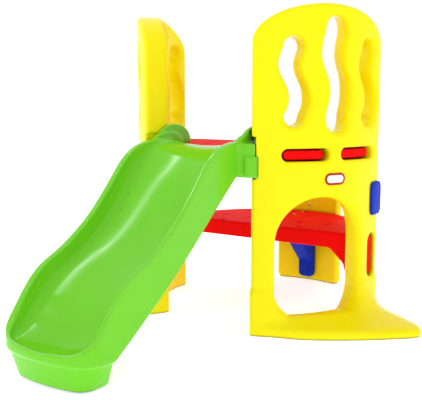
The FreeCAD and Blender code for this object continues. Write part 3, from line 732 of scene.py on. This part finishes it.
def border_field(s, z, r):
    plate = smooth_max(inside_stadium(BADGE, BADGE_HALF, s, z),
                       between(WALL_OUTER, WALL_OUTER + BADGE_THICKNESS, r), 1.5)
    pocket = inside_stadium(BADGE, (BADGE_HALF[0] - BADGE_RIM, BADGE_HALF[1] - BADGE_RIM), s, z)
    return smooth_max(plate, -np.maximum(pocket, WALL_OUTER + BADGE_THICKNESS / 2 - r), 1.0)


def face_field(s, z, r):
    rim = BADGE_RIM + 0.2
    pad = inside_stadium(BADGE, (BADGE_HALF[0] - rim, BADGE_HALF[1] - rim), s, z)
    return smooth_max(pad, between(WALL_OUTER + BADGE_THICKNESS / 2, WALL_OUTER + BADGE_THICKNESS, r), 0.6)


def badge():
    low = (BADGE[0] - BADGE_HALF[0], BADGE[1] - BADGE_HALF[1], WALL_OUTER)
    high = (BADGE[0] + BADGE_HALF[0], BADGE[1] + BADGE_HALF[1], WALL_OUTER + BADGE_THICKNESS)
    border = mould("badge_border_ring", border_field, low, high, step=0.8, place=in_wall)
    face = mould("badge_face_plate", face_field, low, high, step=0.8, place=in_wall)
    finish(border, BADGE_RED, "badge_border")
    finish(face, BADGE_WHITE, "badge_face")


# ---------------------------------------------------------------- screws

def screw_field(x, y, z):
    """Domed head above z = 0 with a cross recess, and a plain shank below."""
    dome = np.sqrt(x * x + y * y + (z + 4.2) ** 2) - 7.6
    head = smooth_max(smooth_max(dome, -z, 0.6), np.hypot(x, y) - 6.0, 0.8)
    across = np.minimum(np.maximum(np.abs(x) - 0.8, np.abs(y) - 3.2),
                        np.maximum(np.abs(y) - 0.8, np.abs(x) - 3.2))
    head = smooth_max(head, -np.maximum(across, 1.4 - z), 0.4)
    shank = np.maximum(np.hypot(x, y) - 2.5, between(-18.0, 0.5, z))
    return np.minimum(head, shank)


def screws(name, node, seats):
    """One object with a screw at each seat: a point in the tower frame and the way its head faces."""
    blank = mould("blank", screw_field, (-6.5, -6.5, -18.5), (6.5, 6.5, 4.0), step=0.6,
                  place=lambda x, y, z: (x, y, z))
    base, ring = mesh_arrays(blank)
    bpy.data.objects.remove(blank)
    places = []
    quads = []
    for index, (point, facing) in enumerate(seats):
        w = np.array(facing, float) / np.linalg.norm(facing)
        side = np.array((0.0, 0.0, 1.0)) if abs(w[2]) < 0.9 else np.array((1.0, 0.0, 0.0))
        u = np.cross(side, w)
        u /= np.linalg.norm(u)
        turn = np.stack([u, np.cross(w, u), w])
        places.append(base @ turn + (np.array(point, float) + (0, TOWER_Y, 0)) * MM)
        quads.append(ring + index * len(base))
    piece = mesh_object(name, np.concatenate(places), np.concatenate(quads))
    finish(piece, STEEL, node)


def clip_seat(s, z, hand):
    """Seat on the inner face of a clip that closes over a wall's edge."""
    angle = WALL_TURN + s / WALL_OUTER
    facing = (-hand * math.cos(angle), -math.sin(angle), 0.0)
    x = hand * (WALL_X + CLIP_INNER * math.cos(angle))
    return (x, WALL_Y + CLIP_INNER * math.sin(angle), z), facing


def all_screws():
    middle = (HOOK_LOW + HOOK_HIGH) / 2
    screws("slide_hook_screws", "slide_screws",
           [clip_seat(24.0 - WALL_HALF_ARC, middle, hand) for hand in (1, -1)])
    screws("edge_grip_screws", "grip_screws",
           [clip_seat(WALL_HALF_ARC - 40.0, z, hand) for hand in (1, -1) for z in (455.0, 526.0)])
    screws("upper_deck_lock_screws", "upper_deck_screws",
           [((x, UPPER_FRONT + 6.0, 670.0), (0, 1, 0)) for x in (-120, 120)])
    screws("bracket_back_screws", "bracket_screws", [((0, 449.0, z), (0, -1, 0)) for z in (48.0, 84.0)])
    screws("back_wall_lock_screw", "back_wall_screw", [((0, BACK_INNER, BACK_SCREW_Z), (0, -1, 0))])
    screws("lower_deck_top_screws", "lower_deck_screws",
           [((0, y, LOWER_TOP), (0, 0, 1)) for y in (310.0, 395.0)])


# ---------------------------------------------------------------- materials

def add_noise(tree, place, scale, detail):
    noise = tree.nodes.new("ShaderNodeTexNoise")
    noise.inputs["Scale"].default_value = scale
    noise.inputs["Detail"].default_value = detail
    tree.links.new(place.outputs["Object"], noise.inputs["Vector"])
    return noise.outputs["Fac"]


def add_range(tree, value, limits):
    """Maps a value from one range to another; a limit left out is 0 or 1."""
    ranged = tree.nodes.new("ShaderNodeMapRange")
    for name, limit in limits.items():
        ranged.inputs[name].default_value = limit
    tree.links.new(value, ranged.inputs["Value"])
    return ranged.outputs["Result"]


def add_bump(tree, height, strength, distance):
    bump = tree.nodes.new("ShaderNodeBump")
    bump.inputs["Strength"].default_value = strength
    bump.inputs["Distance"].default_value = distance
    tree.links.new(height, bump.inputs["Height"])
    return bump


def base_colour(tree, place, colour, deep, painted_edge_highlight):
    """Faintly clouded colour, paler on convex edges as a painted highlight and darker in crevices as painted
    shade.
    """
    nodes = tree.nodes
    links = tree.links
    cloud = add_noise(tree, place, 7.0, 4.0)
    tint = nodes.new("ShaderNodeValToRGB")
    tint.color_ramp.elements[0].position = 0.3
    tint.color_ramp.elements[0].color = (*deep, 1)
    tint.color_ramp.elements[1].position = 0.62
    tint.color_ramp.elements[1].color = (*colour, 1)
    links.new(cloud, tint.inputs["Fac"])

    # Painted highlight: convex edges (high pointiness) are mixed towards a paler colour, standing in for the
    # bright lines lamps draw along rounded edges.
    shape = nodes.new("ShaderNodeNewGeometry")
    convex = {"From Min": 0.53, "From Max": 0.62, "To Max": painted_edge_highlight}
    painted_highlight_mask = add_range(tree, shape.outputs["Pointiness"], convex)
    painted_highlight_mix = nodes.new("ShaderNodeMixRGB")
    painted_highlight_mix.inputs["Color2"].default_value = (*[c + (1.0 - c) * 0.35 for c in colour], 1)
    links.new(painted_highlight_mask, painted_highlight_mix.inputs["Fac"])
    links.new(tint.outputs["Color"], painted_highlight_mix.inputs["Color1"])

    # Painted shade: ambient occlusion darkens the colour in crevices, holes and gaps between parts, where
    # shade falls.
    crevice = nodes.new("ShaderNodeAmbientOcclusion")
    crevice.inputs["Distance"].default_value = 0.02
    crevice.samples = 16
    links.new(painted_highlight_mix.outputs["Color"], crevice.inputs["Color"])
    depth = add_range(tree, crevice.outputs["AO"], {"From Min": 0.25, "From Max": 0.75, "To Min": 0.2})
    painted_shade_mix = nodes.new("ShaderNodeMixRGB")
    painted_shade_mix.blend_type = "MULTIPLY"
    painted_shade_mix.inputs["Fac"].default_value = 1.0
    links.new(painted_highlight_mix.outputs["Color"], painted_shade_mix.inputs["Color1"])
    links.new(depth, painted_shade_mix.inputs["Color2"])
    return painted_shade_mix.outputs["Color"]


def moulded_plastic(name, colour, deep, roughness, shine, peel, painted_edge_highlight):
    """Rotation-moulded plastic: clouded colour, dulled patches, orange peel and fine grain."""
    material = bpy.data.materials.new(name)
    material.use_nodes = True
    tree = material.node_tree
    links = tree.links
    shader = tree.nodes["Principled BSDF"]
    place = tree.nodes.new("ShaderNodeTexCoord")
    # The base colour carries a painted highlight on convex edges and painted shade in crevices.
    links.new(base_colour(tree, place, colour, deep, painted_edge_highlight), shader.inputs["Base Color"])

    scuff = add_noise(tree, place, 23.0, 6.0)
    gloss = add_range(tree, scuff, {"To Min": roughness - 0.05, "To Max": roughness + 0.09})
    links.new(gloss, shader.inputs["Roughness"])

    ripple = add_noise(tree, place, 90.0, 1.0)
    speck = add_noise(tree, place, 900.0, 2.0)
    coarse = add_bump(tree, ripple, peel, 0.0015)
    fine = add_bump(tree, speck, 0.02, 0.0006)
    links.new(coarse.outputs["Normal"], fine.inputs["Normal"])
    links.new(fine.outputs["Normal"], shader.inputs["Normal"])

    shader.inputs["IOR"].default_value = 1.5
    shader.inputs["Specular IOR Level"].default_value = shine
    shader.inputs["Subsurface Weight"].default_value = 0.06
    shader.inputs["Subsurface Radius"].default_value = (0.01, 0.006, 0.003)
    return material


def zinc_steel(name):
    material = moulded_plastic(name, (0.62, 0.63, 0.64), (0.45, 0.46, 0.48),
                               roughness=0.32, shine=0.5, peel=0.12, painted_edge_highlight=0.5)
    shader = material.node_tree.nodes["Principled BSDF"]
    shader.inputs["Metallic"].default_value = 1.0
    shader.inputs["Subsurface Weight"].default_value = 0.0
    return material


# The last argument of each material sets the strength of its painted edge highlight.
YELLOW = moulded_plastic("wall_yellow_plastic", (0.87, 0.745, 0.0006), (0.86, 0.735, 0.0004),
                         roughness=0.25, shine=0.14, peel=0.04, painted_edge_highlight=0.12)
GREEN = moulded_plastic("slide_green_plastic", (0.152, 0.56, 0.014), (0.147, 0.545, 0.013),
                        roughness=0.1, shine=0.2, peel=0.03, painted_edge_highlight=0.8)
RED = moulded_plastic("deck_red_plastic", (0.86, 0.0045, 0.005), (0.81, 0.004, 0.004),
                      roughness=0.5, shine=0.02, peel=0.04, painted_edge_highlight=0.1)
BLUE = moulded_plastic("fitting_blue_plastic", (0.006, 0.030, 0.46), (0.005, 0.027, 0.43),
                       roughness=0.25, shine=0.04, peel=0.04, painted_edge_highlight=0.12)
BADGE_RED = moulded_plastic("badge_red_plastic", (0.42, 0.008, 0.012), (0.36, 0.006, 0.008),
                            roughness=0.3, shine=0.2, peel=0.05, painted_edge_highlight=0.0)
BADGE_WHITE = moulded_plastic("badge_white_plastic", (0.80, 0.80, 0.80), (0.75, 0.75, 0.75),
                              roughness=0.3, shine=0.2, peel=0.05, painted_edge_highlight=0.0)
STEEL = zinc_steel("screw_zinc_steel")


def finish(piece, material, node):
    """Colours a piece and hangs it on the frame in place of one CAD node."""
    piece.data.materials.append(material)
    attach(piece, "root")
    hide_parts(node)


# ---------------------------------------------------------------- studio

def floor():
    half = 14.0
    corners = np.array([(-half, -half, 0), (half, -half, 0), (half, half, 0), (-half, half, 0)], float)
    sheet = mesh_object("studio_floor", corners, np.array([[0, 1, 2, 3]]))
    material = bpy.data.materials.new("studio_white")
    material.use_nodes = True
    shader = material.node_tree.nodes["Principled BSDF"]
    shader.inputs["Base Color"].default_value = (0.95, 0.95, 0.95, 1)
    shader.inputs["Roughness"].default_value = 0.9
    shader.inputs["Specular IOR Level"].default_value = 0.1
    shader.inputs["Emission Color"].default_value = (1, 1, 1, 1)
    shader.inputs["Emission Strength"].default_value = 0.6
    sheet.data.materials.append(material)


def soft_light(name, place, aim, size, power):
    lamp = bpy.data.lights.new(name, "AREA")
    lamp.shape = "RECTANGLE"
    lamp.size = size[0]
    lamp.size_y = size[1]
    lamp.energy = power
    holder = bpy.data.objects.new(name, lamp)
    bpy.context.scene.collection.objects.link(holder)
    holder.location = place
    holder.rotation_euler = (Vector(aim) - Vector(place)).to_track_quat("-Z", "Y").to_euler()


def studio():
    floor()
    soft_light("key", (-2.2, -2.8, 3.4), (0.0, 0.0, 0.5), (0.5, 0.5), 9.0)
    soft_light("strip", (-1.85, -0.4, 3.3), (0.0, -0.4, 0.3), (2.8, 0.07), 12.0)
    soft_light("fill", (3.4, -2.2, 2.0), (0.0, 0.0, 0.5), (2.4, 2.4), 6.0)
    soft_light("top", (0.2, 0.4, 4.2), (0.0, 0.0, 0.4), (3.4, 3.4), 5.0)
    world = bpy.data.worlds.new("studio_world")
    world.use_nodes = True
    world.node_tree.nodes["Background"].inputs["Color"].default_value = (1, 1, 1, 1)
    world.node_tree.nodes["Background"].inputs["Strength"].default_value = 1.02
    bpy.context.scene.world = world
    bpy.context.scene.view_settings.view_transform = "Standard"


def camera():
    lens = bpy.data.cameras.new("view")
    lens.sensor_width = 36.0
    lens.lens = 64.4
    lens.shift_x = -0.0085
    holder = bpy.data.objects.new("view", lens)
    bpy.context.scene.collection.objects.link(holder)
    holder.location = (1.698, -2.775 + TOWER_Y * MM, 0.871)
    holder.rotation_euler = (math.radians(90.0 - 7.506), 0.0, math.radians(34.93))
    bpy.context.scene.camera = holder


camera()
studio()
tall_walls()
low_back_wall()
decks()
slide()
blue_parts()
badge()
all_screws()
